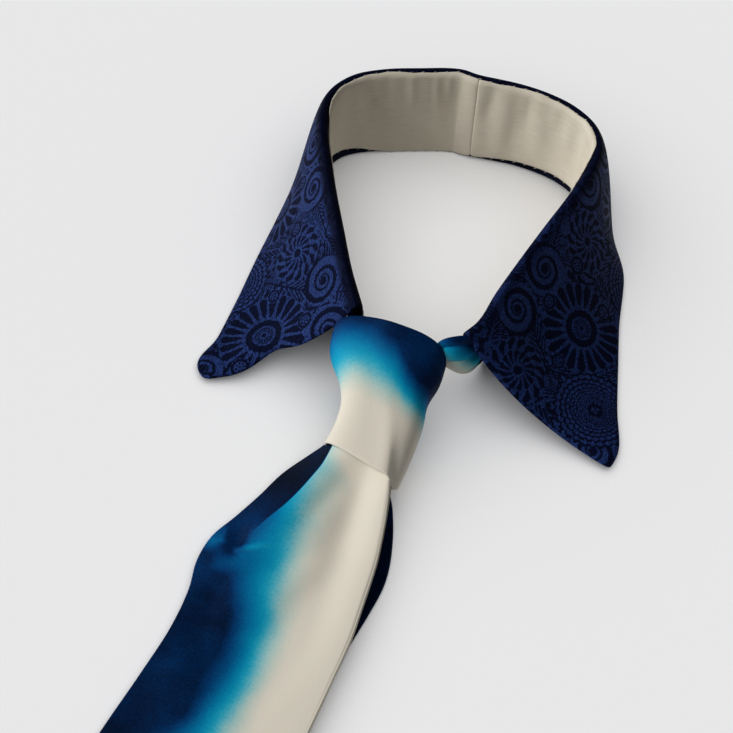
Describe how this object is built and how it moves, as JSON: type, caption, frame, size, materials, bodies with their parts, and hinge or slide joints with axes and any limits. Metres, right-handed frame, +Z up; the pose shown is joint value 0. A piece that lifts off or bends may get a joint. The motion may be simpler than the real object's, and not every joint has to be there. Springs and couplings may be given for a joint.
{
  "type": "detachable pointed collar with knotted silk tie",
  "caption": "Detachable fold-over collar with long points, silk-lined stand and a dip-dyed tie knotted at the front, lying open on a table.",
  "frame": {"origin": "On the table, under the middle of the whole part's footprint.", "axes": "+Z up from the table, -Y towards the tie's point in front of the collar, +X to the right seen from the front of the collar looking at it from the tie's side."},
  "size_m": [0.2157, 0.6411, 0.0466],
  "materials": {
    "navy_jacquard": "figured jacquard, blue satin ground with near-black flowers",
    "ivory_silk": "soft satin sheen",
    "dyed_silk_band": "fine twill silk, dip dyed",
    "dyed_silk_knot": "fine twill silk, dip dyed navy to ivory",
    "dyed_silk_core": "fine twill silk, navy",
    "dyed_silk_blade": "fine twill silk, dip dyed navy, turquoise and ivory",
    "dyed_silk_tail": "fine twill silk, navy"
  },
  "bodies": {
    "root": {"collar_shell": "navy_jacquard", "lining_left": "ivory_silk", "lining_right": "ivory_silk", "tie_neckband": "dyed_silk_band", "tie_knot": "dyed_silk_knot", "knot_core": "dyed_silk_core", "tie_blade": "dyed_silk_blade", "tie_tail": "dyed_silk_tail"}
  },
  "joints": []
}
